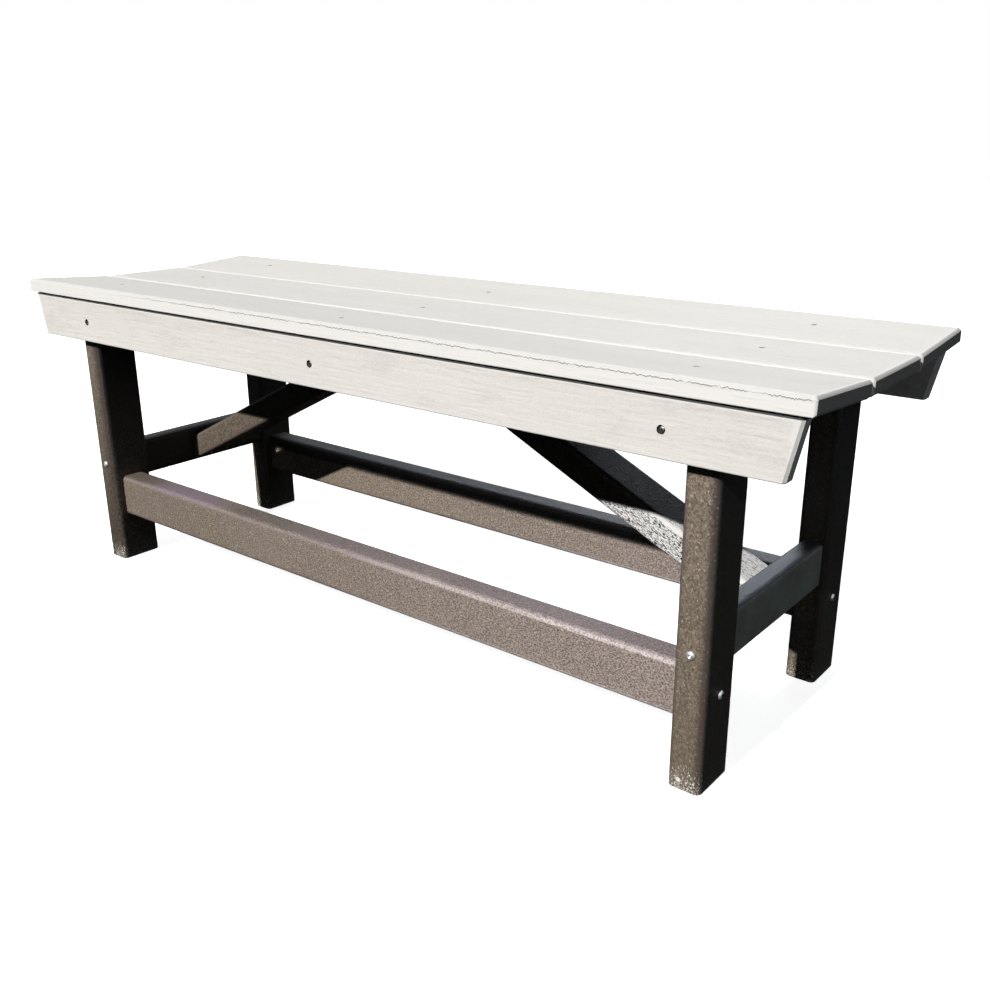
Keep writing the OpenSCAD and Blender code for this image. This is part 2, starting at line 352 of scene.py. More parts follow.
class Nodes:
    """Short names for building a node tree."""

    def __init__(self, name):
        self.m = bpy.data.materials.new(name)
        self.m.use_nodes = True
        self.t = self.m.node_tree
        self.t.nodes.clear()
        self.out = self.t.nodes.new("ShaderNodeOutputMaterial")
        self.b = self.t.nodes.new("ShaderNodeBsdfPrincipled")
        self.t.links.new(self.b.outputs[0], self.out.inputs[0])

    def n(self, kind, **kw):
        node = self.t.nodes.new(kind)
        for k, v in kw.items():
            setattr(node, k, v)
        return node

    def put(self, socket, value):
        if isinstance(value, bpy.types.NodeSocket):
            self.t.links.new(value, socket)
        else:
            socket.default_value = value

    def coords(self, scale, offset=(0, 0, 0), rot=(0, 0, 0)):
        tc = self.n("ShaderNodeTexCoord")
        first = self.n("ShaderNodeMapping")
        first.inputs["Rotation"].default_value = rot
        first.inputs["Location"].default_value = offset
        self.t.links.new(tc.outputs["Object"], first.inputs["Vector"])
        mp = self.n("ShaderNodeMapping")
        mp.inputs["Scale"].default_value = scale
        self.t.links.new(first.outputs[0], mp.inputs["Vector"])
        return mp.outputs[0]

    def noise(self, vec, scale=1.0, detail=2.0, rough=0.5, dist=0.0):
        t = self.n("ShaderNodeTexNoise")
        self.put(t.inputs["Vector"], vec)
        t.inputs["Scale"].default_value = scale
        t.inputs["Detail"].default_value = detail
        t.inputs["Roughness"].default_value = rough
        t.inputs["Distortion"].default_value = dist
        return t.outputs["Fac"]

    def voronoi(self, vec, scale=1.0, feature="F1", out="Distance", rnd=1.0):
        t = self.n("ShaderNodeTexVoronoi", feature=feature)
        self.put(t.inputs["Vector"], vec)
        t.inputs["Scale"].default_value = scale
        t.inputs["Randomness"].default_value = rnd
        return t.outputs[out]

    def math(self, op, a, b=0.0, clamp=False):
        t = self.n("ShaderNodeMath", operation=op)
        t.use_clamp = clamp
        self.put(t.inputs[0], a)
        self.put(t.inputs[1], b)
        return t.outputs[0]

    def remap(self, v, a, b, c=0.0, d=1.0, smooth_=True):
        t = self.n("ShaderNodeMapRange")
        t.interpolation_type = "SMOOTHSTEP" if smooth_ else "LINEAR"
        self.put(t.inputs["Value"], v)
        for k, x in (("From Min", a), ("From Max", b), ("To Min", c), ("To Max", d)):
            t.inputs[k].default_value = x
        return t.outputs[0]

    def mix(self, fac, a, b):
        t = self.n("ShaderNodeMix", data_type="RGBA")
        self.put(t.inputs[0], fac)
        for s, v in ((t.inputs[6], a), (t.inputs[7], b)):
            self.put(s, v if isinstance(v, bpy.types.NodeSocket) else (*v, 1.0))
        return t.outputs[2]

    def attr(self, name):
        return self.n("ShaderNodeAttribute", attribute_name=name).outputs["Fac"]

    def xyz(self, vec):
        t = self.n("ShaderNodeSeparateXYZ")
        self.put(t.inputs[0], vec)
        return t.outputs

    def bump(self, height, dist, strength=1.0, normal=None):
        t = self.n("ShaderNodeBump")
        t.inputs["Distance"].default_value = dist
        t.inputs["Strength"].default_value = strength
        self.put(t.inputs["Height"], height)
        if normal is not None:
            self.put(t.inputs["Normal"], normal)
        return t.outputs[0]


def seat_material(name, seed, bright=1.0, smudge=0.0, film=False, marks=1.0, under_board_shade=None, ends=0.0):
    """Off-white plank with lengthwise embossed grain on its flats and smooth pale edges. smudge greys it in cloudy
    patches, film draws the torn edge of the embossed skin along the front, marks is the strength of the printed grain,
    shut is the height over which an apron gets a band of painted shade where it meets the seat, ends darkens the sawn
    ends as painted shade."""
    k = Nodes(name)
    off = (0.37 * seed, 0.21 * seed, 0.13 * seed)

    def g(r, gr, b):
        return (r * bright, gr * bright, b * bright)

    grit = k.noise(k.coords((300, 900, 900), off), 1, 2, 0.6)
    mid = k.noise(k.coords((38, 330, 330), off), 1, 4, 0.68, 0.9)
    long_ = k.noise(k.coords((12, 230, 230), off), 1, 3, 0.6, 0.4)
    cloud = k.noise(k.coords((9, 34, 34), off), 1, 4, 0.62, 0.6)
    broad = k.noise(k.coords((3.2, 22, 22), off), 1, 3, 0.55)
    dash = k.noise(k.coords((85, 640, 640), off), 1, 2, 0.5)
    flat = k.attr("emboss")
    lines = k.remap(mid, 0.50, 0.70)
    longs = k.remap(long_, 0.56, 0.72)
    dashes = k.remap(dash, 0.62, 0.78)
    dirt = k.math("ADD", k.math("MULTIPLY", lines, 0.36), k.math("MULTIPLY", dashes, 0.55))
    dirt = k.math("ADD", dirt, k.math("MULTIPLY", longs, 0.14), True)
    dirt = k.math("MULTIPLY", dirt, k.remap(cloud, 0.36, 0.64, 0.45, 1.15))
    dirt = k.math("MULTIPLY", dirt, flat)
    base = k.mix(k.remap(broad, 0.3, 0.7), g(0.925, 0.905, 0.870), g(0.897, 0.876, 0.842))
    base = k.mix(k.math("MULTIPLY", k.remap(grit, 0.42, 0.70), k.math("MULTIPLY", flat, min(1.0, 0.42 * marks))), base, g(0.81, 0.79, 0.755))
    if smudge:
        grey = k.math("MULTIPLY", k.remap(cloud, 0.50, 0.68), k.remap(grit, 0.30, 0.66, 0.35, 1.0))
        base = k.mix(k.math("MULTIPLY", k.math("MULTIPLY", grey, flat), smudge), base, g(0.66, 0.645, 0.62))
    col = k.mix(k.math("MULTIPLY", dirt, min(1.0, 0.50 * marks)), base, g(0.64, 0.62, 0.59))
    col = k.mix(k.remap(flat, 0.0, 0.9, 0.92, 0.0), col, (0.87, 0.862, 0.845) if ends and not film else (0.955, 0.95, 0.935))
    # the arrises facing up and forward are painted darker
    darkening = k.math("MULTIPLY", k.attr("arris"), k.remap(flat, 0.0, 0.6, 1.0, 0.0))
    col = k.mix(k.math("MULTIPLY", darkening, 0.9), col, (0.715, 0.705, 0.685))
    if under_board_shade:
        # painted shade: a near-black band along the apron's top, standing for the shadow under the board's edge
        z = k.xyz(k.coords((1, 1, 1)))[2]
        col = k.mix(k.math("MULTIPLY", k.remap(z, under_board_shade[0], under_board_shade[1]), 0.92), col, (0.035, 0.035, 0.034))
    if ends:
        # painted shade: the sawn ends, which face away from the key light, darkened
        col = k.mix(k.math("MULTIPLY", k.math("ABSOLUTE", k.attr("side")), ends), col, g(0.25, 0.245, 0.235))
    h = k.math("ADD", k.math("MULTIPLY", grit, 0.4), k.math("MULTIPLY", mid, 0.8))
    h = k.math("SUBTRACT", h, k.math("MULTIPLY", dashes, 0.4))
    h = k.math("MULTIPLY", h, flat)
    if film:
        # jagged along the board, broken here and there, with loose crumbs
        teeth = k.noise(k.coords((230, 0.01, 0.01), off), 1, 3, 0.72)
        wander = k.noise(k.coords((46, 0.01, 0.01), off), 1, 2, 0.5)
        jag = k.math("ADD", k.math("MULTIPLY", k.math("SUBTRACT", teeth, 0.5), 8.0), k.math("MULTIPLY", k.math("SUBTRACT", wander, 0.5), 4.0))
        off_line = k.math("ABSOLUTE", k.math("SUBTRACT", k.attr("above"), jag))
        stroke = k.remap(off_line, 0.30, 0.72, 1.0, 0.0)
        gaps = k.remap(k.noise(k.coords((30, 0.01, 0.01), off), 1, 3, 0.7), 0.38, 0.50, 0.30, 1.0)
        m = k.math("MULTIPLY", k.math("MULTIPLY", stroke, gaps), k.attr("line"))
        col = k.mix(m, col, (0.30, 0.295, 0.285))
        h = k.math("SUBTRACT", h, k.math("MULTIPLY", m, 0.5))
    k.put(k.b.inputs["Base Color"], col)
    rough = k.remap(flat, 0, 1, 0.50, 0.68, False)
    k.put(k.b.inputs["Roughness"], k.math("ADD", rough, k.math("MULTIPLY", k.math("SUBTRACT", grit, 0.5), 0.18)))
    pore = k.noise(k.coords((900, 1500, 1500), off), 1, 2, 0.5)
    h = k.math("ADD", h, k.math("MULTIPLY", pore, 0.10))
    k.put(k.b.inputs["Normal"], k.bump(h, 0.0005, 0.45))
    k.b.inputs["Specular IOR Level"].default_value = 0.16
    return k.m


def frame_material(name, seed, along="X", tilt=0.0, gain=1.0, grain=1.0, pink=0.0, foot=False, edge_shade=None, skin=(0.20, 0.155, 0.148), top_shade_and_sheen=(),
                   dust_and_sheen=0.0, inner_shade=0, spots=(), sunlit_highlight=False, far=None, brace_top_shade=0.0, side_shade=0.0, low=0.40, size=1.0, apron_shadow=0.0):
    """Weathered taupe plastic with a fine pebbled skin and light specks, part of them painted glints. gain lightens a
    bar, grain is its contrast, pink warms it towards its +X end, fade (x0, x1) paints shade on its front towards an
    arris, skin is the colour of its arrises (darker as painted shade, lighter as painted highlight), crown lists (x0,
    x1, mix, colour) stretches of its top painted with shade and sheen, dusty greys its top and sides with dust and
    paints sheen and the seat's shadow on its top, sheltered (1 or -1) is the way its inner face, painted dark as shade,
    looks along X, spots lists (x, z, radius) chips on its front, bleached paints a white, streaked highlight on the
    sunlit end of a brace, far is the colour of the arrises towards +X, a painted highlight, dull paints shade on the
    top of a brace, outer paints shade on the faces looking either way along X, low darkens a leg towards the ground,
    size above 1 makes the pebbling finer, unfaded paints the front apron's shadow on the bar, dark where the apron
    keeps the sun off. Lengths in metres."""
    k = Nodes(name)
    off = (0.41 * seed, 0.17 * seed, 0.29 * seed)
    st = {"X": (0.75, 1, 1), "Y": (1, 0.75, 1), "Z": (1, 1, 0.75)}[along]
    rot = (0, tilt, 0)

    def c(s):
        return k.coords((s * st[0], s * st[1], s * st[2]), off, rot)

    def g(r, gr, b):
        return (r * gain, gr * gain, b * gain)

    peb = k.noise(c(330 * size), 1, 3, 0.68, 0.35)
    fine = k.noise(c(900), 1, 2, 0.6)
    pit = k.remap(k.noise(c(430 * size), 1, 1, 0.5), 0.34, 0.24)
    speck = k.remap(k.noise(c(450), 1.07, 1, 0.5), 0.64, 0.72)
    glint = k.remap(k.noise(c(230), 1.3, 1, 0.5), 0.74, 0.79)
    # painted highlights: the glints, and the light specks in part, are kept to the faces that look forward or up, which
    # the key light reaches
    lit_faces = k.math("ADD", k.attr("fwd"), k.attr("up"), True)
    speck = k.math("MULTIPLY", speck, k.remap(lit_faces, 0.0, 0.8, 0.25, 1.0))
    glint = k.math("MULTIPLY", glint, k.remap(lit_faces, 0.0, 0.8, 0.02, 1.0))
    blotch = k.noise(c(18), 1, 4, 0.6)
    wide = k.noise(c(3.2), 1, 2, 0.5)
    here = k.xyz(k.coords((1, 1, 1)))
    top = k.attr("up")
    lo, hi = 1 - 0.36 * grain, 1 + 0.36 * grain
    col = k.mix(k.remap(peb, 0.38, 0.62), g(0.222 * lo, 0.181 * lo, 0.140 * lo), g(0.222 * hi, 0.181 * hi, 0.140 * hi))
    col = k.mix(k.math("MULTIPLY", k.remap(fine, 0.46, 0.70), 0.30 * grain), col, g(0.34, 0.285, 0.228))
    col = k.mix(k.math("MULTIPLY", k.remap(blotch, 0.38, 0.7), 0.20), col, g(0.20, 0.165, 0.135))
    col = k.mix(k.math("MULTIPLY", pit, min(1.0, 0.6 * grain)), col, g(0.080, 0.062, 0.046))
    col = k.mix(k.math("MULTIPLY", k.remap(wide, 0.50, 0.68), 0.30), col, g(0.262, 0.212, 0.208))
    if pink:
        warm = k.remap(here[0], -0.40, 0.50, 0.0, pink, False)
        tone = k.mix(k.remap(peb, 0.38, 0.62), (0.375 * lo, 0.312 * lo, 0.290 * lo), (0.375 * hi, 0.312 * hi, 0.290 * hi))
        col = k.mix(warm, col, tone)
    # colour the arrises with skin: painted shade where it is darker than the faces (the legs), painted highlight where
    # it is lighter (the stretchers, most of all towards +X with far)
    edge = k.math("MULTIPLY", k.remap(k.attr("flat"), 0.0, 1.0, 1.0, 0.0), k.remap(blotch, 0.2, 0.6, 0.45, 1.0))
    if far:
        skin = k.mix(k.remap(here[0], -0.08, 0.28), skin, far)
        crumb = k.remap(k.noise(c(560), 1, 3, 0.75), 0.40, 0.58, 0.10, 1.0)
        lively = k.remap(here[0], -0.08, 0.28, 0.0, 1.0)
        crumb = k.math("ADD", k.math("MULTIPLY", crumb, lively), k.math("SUBTRACT", 1.0, lively), True)
        col = k.mix(k.math("MULTIPLY", k.math("MULTIPLY", edge, crumb), k.remap(here[0], -0.08, 0.28, 0.65, 0.95)), col, skin)
    else:
        col = k.mix(k.math("MULTIPLY", edge, 0.6), col, skin)
    if edge_shade:
        # painted shade: the front darkens towards the arris that turns away from the key light
        x = k.math("ADD", here[0], k.math("MULTIPLY", k.math("SUBTRACT", k.noise(c(60), 1, 3, 0.6), 0.5), 0.008))
        dark = k.math("MULTIPLY", k.remap(x, edge_shade[0], edge_shade[1]), k.attr("fwd"))
        col = k.mix(k.math("MULTIPLY", dark, 0.80), col, (0.060, 0.043, 0.043))
        clear = k.math("SUBTRACT", 1.0, k.math("MULTIPLY", dark, 0.85))
        speck = k.math("MULTIPLY", speck, clear)
        glint = k.math("MULTIPLY", glint, clear)
    # painted shade and painted sheen on stretches of the top
    for x0, x1, much, tint in top_shade_and_sheen:
        m = k.math("MULTIPLY", k.remap(here[0], x0 - 0.03, x0 + 0.03), k.remap(here[0], x1 - 0.04, x1 + 0.04, 1.0, 0.0))
        m = k.math("MULTIPLY", k.math("MULTIPLY", m, top), much)
        col = k.mix(k.math("MULTIPLY", m, k.remap(peb, 0.36, 0.62, 1.0, 0.45)), col, tint)
    if brace_top_shade:
        # painted shade: the brace's top darkened, with glints and specks kept off it
        col = k.mix(k.math("MULTIPLY", top, brace_top_shade), col, (0.030, 0.028, 0.026))
        under = k.remap(k.attr("fwd"), 0.0, 0.8, 0.0, 0.35)
        glint = k.math("MULTIPLY", glint, under)
        speck = k.math("MULTIPLY", speck, under)
    if side_shade:
        # painted shade on the faces looking either way along X
        col = k.mix(k.math("MULTIPLY", k.math("ABSOLUTE", k.attr("side")), side_shade), col, (0.040, 0.044, 0.040))
    if apron_shadow:
        # painted shadow: the bar darkened where the front apron's shadow from the key light falls, with specks and
        # glints kept out of it
        kept = k.remap(k.math("ADD", here[2], k.math("MULTIPLY", here[1], 0.734)), SHADOW_LINE - 0.003, SHADOW_LINE + 0.004, 0.0, apron_shadow)
        if top_shade_and_sheen:
            kept = k.math("MULTIPLY", kept, k.math("SUBTRACT", 1.0, top))
        col = k.mix(kept, col, (0.020, 0.021, 0.020))
        speck = k.math("MULTIPLY", speck, k.math("SUBTRACT", 1.0, kept))
        glint = k.math("MULTIPLY", glint, k.math("SUBTRACT", 1.0, kept))
    # light specks, part real and part painted highlight, then painted glints
    col = k.mix(k.math("MULTIPLY", speck, 0.70), col, g(0.60, 0.53, 0.42))
    col = k.mix(k.math("MULTIPLY", glint, 0.85), col, (0.80, 0.75, 0.64))
    if dust_and_sheen:
        m = k.math("MULTIPLY", k.remap(blotch, 0.25, 0.62, 0.45, 1.0), dust_and_sheen)
        col = k.mix(m, col, (0.47, 0.50, 0.47))
        # painted sheen: the top lighter and bluer
        col = k.mix(k.math("MULTIPLY", top, 0.9 * dust_and_sheen), col, (0.52, 0.53, 0.62))
        # a dark line where the top turns over
        turn = k.math("MULTIPLY", k.math("MULTIPLY", top, k.math("SUBTRACT", 1.0, top)), 4.0, True)
        col = k.mix(k.math("MULTIPLY", turn, 0.85), col, (0.07, 0.075, 0.075))
        # painted shadow of the seat: the top darkened towards its rear end, and less towards its front end
        kept = k.remap(here[1], 0.055, 0.095)
        col = k.mix(k.math("MULTIPLY", k.math("MULTIPLY", kept, top), 0.95), col, (0.020, 0.021, 0.022))
        kept = k.remap(here[1], -0.03, -0.10, 0.0, 0.55)
        col = k.mix(k.math("MULTIPLY", kept, top), col, (0.12, 0.125, 0.14))
    if inner_shade:
        # painted shade: the inner faces, looking along X towards the bench's middle, darkened almost to black
        m = k.remap(k.math("MULTIPLY", k.attr("side"), float(inner_shade)), 0.0, 1.0, 0.0, 0.94)
        col = k.mix(m, col, (0.014, 0.014, 0.013))
    if foot:
        # darker towards the ground, scuffed pale at the very foot
        darkening = k.remap(here[2], 0.34, 0.05, 0.0, low, False)
        deep = k.mix(k.remap(peb, 0.38, 0.62), (0.040, 0.031, 0.025), (0.125, 0.100, 0.080))
        col = k.mix(darkening, col, (0.125, 0.100, 0.070) if low < 0.6 else deep)
        chips = k.math("MULTIPLY", k.remap(here[2], 0.0, 0.040, 1.0, 0.0, False), 0.155)
        chip = k.remap(k.math("ADD", k.noise(c(520), 1, 3, 0.78), chips), 0.655, 0.685)
        chip = k.math("MULTIPLY", chip, k.remap(lit_faces, 0.0, 0.8, 0.3, 1.0))
        chip = k.math("MULTIPLY", chip, k.remap(here[2], 0.026, 0.046, 1.0, 0.0))
        col = k.mix(k.math("MULTIPLY", chip, 0.9), col, (0.90, 0.87, 0.80))
    for sx, sz, sr in spots:
        dx, dz = k.math("SUBTRACT", here[0], sx), k.math("SUBTRACT", here[2], sz)
        d = k.math("SQRT", k.math("ADD", k.math("MULTIPLY", dx, dx), k.math("MULTIPLY", dz, dz)))
        d = k.math("ADD", d, k.math("MULTIPLY", k.math("SUBTRACT", k.noise(c(300), 1, 2, 0.5), 0.5), 0.0014))
        col = k.mix(k.math("MULTIPLY", k.remap(d, sr - 0.0003, sr + 0.0003, 1.0, 0.0), k.attr("fwd")), col, (0.97, 0.96, 0.93))
    h = k.math("ADD", peb, k.math("MULTIPLY", fine, 0.30))
    h = k.math("ADD", h, k.math("MULTIPLY", speck, 0.30))
    h = k.math("SUBTRACT", h, k.math("MULTIPLY", pit, 0.35))
    if sunlit_highlight:
        front = k.attr("fwd")
        arris = k.attr("arris")
        # painted highlight: the brace's end whitened, with dark streaks and a white arris, only where the key light
        # gets in under the apron
        ray = k.math("ADD", here[2], k.math("MULTIPLY", here[1], 0.734))
        lit_end = k.remap(ray, SHADOW_LINE + 0.005, SHADOW_LINE - 0.002, 0.0, 1.0)
        strokes = k.noise(k.coords((180, 780, 780), off, rot), 1, 3, 0.72, 0.7)
        white = k.mix(k.remap(strokes, 0.460, 0.492), (0.006, 0.005, 0.006), (1.0, 1.0, 1.0))
        white = k.mix(k.math("MULTIPLY", k.remap(fine, 0.4, 0.7), 0.20), white, (0.78, 0.71, 0.71))
        haze = k.mix(k.remap(strokes, 0.39, 0.45), (0.03, 0.025, 0.03), (1.0, 0.99, 1.0))
        col = k.mix(k.math("MULTIPLY", lit_end, front), col, white)
        col = k.mix(k.math("MULTIPLY", lit_end, top), col, haze)
        col = k.mix(k.math("MULTIPLY", lit_end, k.math("MULTIPLY", arris, 0.85)), col, (0.97, 0.95, 0.95))
        h = k.math("ADD", h, k.math("MULTIPLY", strokes, k.math("MULTIPLY", k.math("MULTIPLY", lit_end, k.math("ADD", front, top, True)), 1.2)))
    k.put(k.b.inputs["Base Color"], col)
    k.put(k.b.inputs["Roughness"], k.math("ADD", k.math("MULTIPLY", peb, 0.26), 0.34))
    k.put(k.b.inputs["Normal"], k.bump(h, 0.0011, 0.65))
    k.b.inputs["Specular IOR Level"].default_value = 0.10 if brace_top_shade else 0.45
    return k.m


def steel_material(name, color, rough, metal=1.0):
    k = Nodes(name)
    n1 = k.noise(k.coords((700, 700, 700)), 1, 3, 0.6)
    n2 = k.noise(k.coords((160, 160, 160)), 1, 3, 0.6)
    dark = tuple(c * 0.62 for c in color)
    k.put(k.b.inputs["Base Color"], k.mix(k.remap(n2, 0.45, 0.75, 0.0, 0.55), color, dark))
    k.put(k.b.inputs["Roughness"], k.math("ADD", k.math("MULTIPLY", n1, 0.16), rough))
    k.b.inputs["Metallic"].default_value = metal
    k.put(k.b.inputs["Normal"], k.bump(n1, 0.00006, 0.5))
    return k.m


def recess_material(name, color):
    k = Nodes(name)
    n1 = k.noise(k.coords((900, 900, 900)), 1, 3, 0.6)
    k.put(k.b.inputs["Base Color"], k.mix(n1, color, tuple(c * 2.2 for c in color)))
    k.put(k.b.inputs["Roughness"], k.math("ADD", k.math("MULTIPLY", n1, 0.2), 0.6))
    k.put(k.b.inputs["Normal"], k.bump(n1, 0.0002, 0.6))
    return k.m


# painted shade: near-black walls for the screw recesses and sockets, a grey one for the seat screws' recesses
RECESS_SHADE = recess_material("recess_shade", (0.012, 0.012, 0.011))
SEAT_RECESS_SHADE = recess_material("seat_recess_shade", (0.20, 0.195, 0.18))
BORE = recess_material("bore_wall", (0.05, 0.043, 0.036))
SCREW_STEEL = steel_material("screw_steel", (0.90, 0.89, 0.87), 0.30)
BOLT_STEEL = steel_material("bolt_steel", (0.96, 0.96, 0.97), 0.30, 0.72)

# ---------------------------------------------------------------- fastener axes, as in the frame


def T(x, y, z):
    return Matrix.Translation((x * MM, y * MM, z * MM))


def rx(d):
    return Matrix.Rotation(math.radians(d), 4, "X")


def ry(d):
    return Matrix.Rotation(math.radians(d), 4, "Y")


def on_board(row):
    s = row - 1
    if s == 0:
        return T(0, 0, UNDER)
    return T(0, s * KNEE, UNDER) @ rx(s * 4.1) @ T(0, s * BOARD_W / 2, 0)


COLS, COL_X, COL_Y, ROW_Y, APR_DX = (-1, 0, 1), (-5.5, 11, 3.5), (8, -11, 4), (-5, 4, 4), (-7, 0, 3)


def seat_screw_axes(row):
    return [on_board(row) @ T(COLS[c] * SUP_CX + COL_X[c], ROW_Y[row] + COL_Y[c], BOARD_T) for c in range(3)]


def apron_screw_axes(side):
    return [T(c * SUP_CX + dx, side * (FRAME_W / 2 + 0.1 + BOARD_T), APR_SZ) @ rx(side * -90) for c, dx in zip(COLS, APR_DX)]


def stretcher_bolt_axes():
    return [T(s * FRAME_L / 2, t * LEG_CY, STR_Z) @ ry(s * 90) for s in (-1, 1) for t in (-1, 1)]


def rail_bolt_axes():
    return [T(s * LEG_CX, t * FRAME_W / 2, RAIL_Z) @ rx(t * -90) for s in (-1, 1) for t in (-1, 1)]


def support_screw_axes():
    return [T(s * (SUP_CX - BAR_T / 2), t * LEG_CY + q * 14, SUP_Z0 + 13) @ ry(s * -90)
            for s in (-1, 1) for t in (-1, 1) for q in (-1, 1)]


def brace_screw_axes(s, low):
    x = RAIL_IN - 30 if low else BAR_T / 2 + 30
    z = UNDER - fall(s, RAIL_IN) - upright(s) + 17 if low else UNDER - fall(s, x) - 2.8
    return [T(s * x, BR_Y + q * 18, z) @ ry((-s if low else s) * 90) for q in (-1, 1)]


def tag(me, mat):
    me.materials.append(mat)
    return me


def screw_cutter(depth, up, mat, mouth=MOUTH):
    me = lathe("screw_cutter", [(0, up), (mouth + 0.2, up), (mouth + 0.2, 0.12), (mouth, -0.3), (mouth, -1.2), (SCREW_R + 0.3, -1.2 - (mouth - SCREW_R - 0.3)),
                                (SCREW_R + 0.3, -depth), (0, -depth)], 36)
    return tag(me, mat)


def rod_cutter(r, z0, z1, mat):
    return tag(lathe("rod_cutter", [(0, z1), (r, z1), (r, z0), (0, z0)], 24), mat)


# ---------------------------------------------------------------- seat boards and aprons


def seat_depth(seed, jag=False):
    """How far the plank's skin sinks: lengthwise embossed grain on the flats, slight unevenness elsewhere, a torn film line."""

    def f(t, a, b, nt, na, nb):
        flat = sstep(0.97, 0.999, np.abs(nb)) * (np.abs(nt) < 0.2)
        ragged = vnoise(t / 7, np.sign(b) * 3.0, 0, seed + 5)
        edge = BOARD_W / 2 - BOARD_R - 0.3 - np.abs(a)
        flat = flat * sstep(0.0, 1.2 + 2.2 * ragged, edge)
        g1 = vnoise(t / 55, a / 2.7, np.sign(b) * 7.0, seed)
        g2 = vnoise(t / 24, a / 1.9, np.sign(b) * 9.0, seed + 1)
        g3 = vnoise(t / 160, a / 11, np.sign(b), seed + 2)
        grain = 0.10 * sstep(0.45, 0.85, g1) + 0.07 * sstep(0.5, 0.9, g2) + 0.05 * g3
        skin = 0.05 * vnoise(t / 30, a / 12, b / 12, seed + 3)
        out = flat * (grain + 0.05) + skin
        sawn = sstep(0.9, 1.0, np.abs(nt))
        out = out + sawn * (0.10 * vnoise(t, a / 1.6, b / 24, seed + 6) + 0.06 * vnoise(t, a / 0.9, b / 9, seed + 7))
        if jag:
            # the embossed film laps over the front edge and ends in a small step
            side = (na < -0.6) & (np.abs(nt) < 0.5)
            out = out + side * 0.12 * sstep(0.5, -0.5, b - FILM + 1.4 * (vnoise(t / 6.5, 0.3, 0, seed + 11) - 0.5))
        return out

    return f


FILM = 5.2  # height of the torn film edge over the front board's mid-plane


def paint_board(ob, seed, inv, half_w, t_half, r, jag=False, edge_in=1.6):
    """The attributes the plank material reads: emboss on the flats, line along the torn film."""
    me = ob.data
    n = len(me.vertices)
    co = np.empty(n * 3, np.float32)
    me.vertices.foreach_get("co", co)
    co = co.reshape(-1, 3).astype(float)
    m = np.array(inv, float)
    loc = (co @ m[:3, :3].T + m[:3, 3]) / MM
    t, a, b = loc[:, 0], loc[:, 1], loc[:, 2]
    ragged = vnoise(t / 8, np.sign(b) * 3.0, np.sign(a), seed + 5)
    in_w = sstep(0.0, 1.5, half_w - r - 0.2 - np.abs(a) - 1.6 * (ragged - 0.4))
    in_l = sstep(0.0, 1.5, t_half - 4.4 - np.abs(t) - 1.0 * (ragged - 0.4))
    on = sstep(0.9, 0.2, np.abs(np.abs(b) - BOARD_T / 2))
    emboss = in_w * in_l * on
    side_face = sstep(0.9, 0.3, np.abs(np.abs(a) - half_w)) * sstep(t_half - 1, t_half - 5, np.abs(t))
    streak = vnoise(t / 40, b / 1.3, np.sign(a) * 4, seed + 8)
    line = np.zeros(n)
    above = np.full(n, 9.0)
    if jag:
        # where the film's torn edge may be drawn, and how far (mm) a point is above it
        line = sstep(-half_w + 6.5, -half_w + 4.0, a) * sstep(t_half - 2, t_half - 7, np.abs(t)) * sstep(-470, -200, t)
        above = np.clip(b - FILM, -6, 6)
        emboss = np.maximum(emboss, side_face * (b < FILM) * 0.45 * sstep(0.5, 0.8, streak))
    else:
        emboss = np.maximum(emboss, side_face * 0.45 * sstep(0.5, 0.8, streak))
    for key, val in (("emboss", emboss), ("line", line), ("above", above)):
        at = me.attributes.get(key) or me.attributes.new(key, "FLOAT", "POINT")
        at.data.foreach_set("value", val.astype(np.float32))


pieces = []


def facing(ob):
    """Which way the skin faces, for the bars' dust and their painted sheen, shade and highlight, and the boards' arris
    and end paint.
    """
    me = ob.data
    n = np.empty(len(me.vertices) * 3, np.float32)
    me.vertices.foreach_get("normal", n)
    n = n.reshape(-1, 3).astype(float)
    for key, val in (("up", sstep(0.55, 0.85, n[:, 2])), ("fwd", sstep(0.45, 0.85, -n[:, 1])), ("side", sstep(0.55, 0.9, n[:, 0]) - sstep(0.55, 0.9, -n[:, 0])),
                     ("arris", sstep(0.22, 0.42, n[:, 2]) * sstep(0.22, 0.42, -n[:, 1]))):
        at = me.attributes.get(key) or me.attributes.new(key, "FLOAT", "POINT")
        at.data.foreach_set("value", val.astype(np.float32))


def finish_piece(ob, nodes, slot, mats, angle=38):
    smooth(ob, angle)
    if slot in ("frame_bars", "seat_boards"):
        facing(ob)
    for i, m in enumerate(mats):
        if i < len(ob.data.materials):
            ob.data.materials[i] = m
        else:
            ob.data.materials.append(m)
    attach(ob, "root")
    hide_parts(*nodes)
    pieces.append(ob)
    return ob


def apply_matrix(m, t, a, b):
    p = np.stack([t, a, b, np.full(len(t), 1.0 / MM)], -1) * MM
    return (p @ np.array(m, float).T)[:, :3] / MM


for row, nm in enumerate(("front", "middle", "rear")):
    m = on_board(row) @ T(0, 0, BOARD_T / 2)
    jag = row == 0
    mat = seat_material("seat_plank_" + nm, 1 + row, bright=(0.965, 0.965, 0.955)[row], film=jag, ends=0.72)
    ob = loft("plank_" + nm, SEAT_L, BOARD_W - 0.4, BOARD_T - 0.2, (3.0, 2.3 if row else 4.2, 1.0, 2.0),
              lambda t, a, b, m=m: apply_matrix(m, t, a, b), seat_depth(10 * row + 3, jag),
              step=3.85 if jag else 5.0, da=1.35, db=0.62 if jag else 1.4, nr=9 if jag else 6, end_r=3.4, end_n=1, cap_step=1.4, plan=0.3)
    ob.data.materials.append(mat)
    cut(ob, [(screw_cutter(BOARD_T + 2, 3, SEAT_RECESS_SHADE, 3.65), ax) for ax in seat_screw_axes(row)])
    paint_board(ob, 10 * row + 3, m.inverted(), BOARD_W / 2, SEAT_L / 2, BOARD_R, jag)
    finish_piece(ob, ["seat_board_" + nm], "seat_boards", [mat, SEAT_RECESS_SHADE])

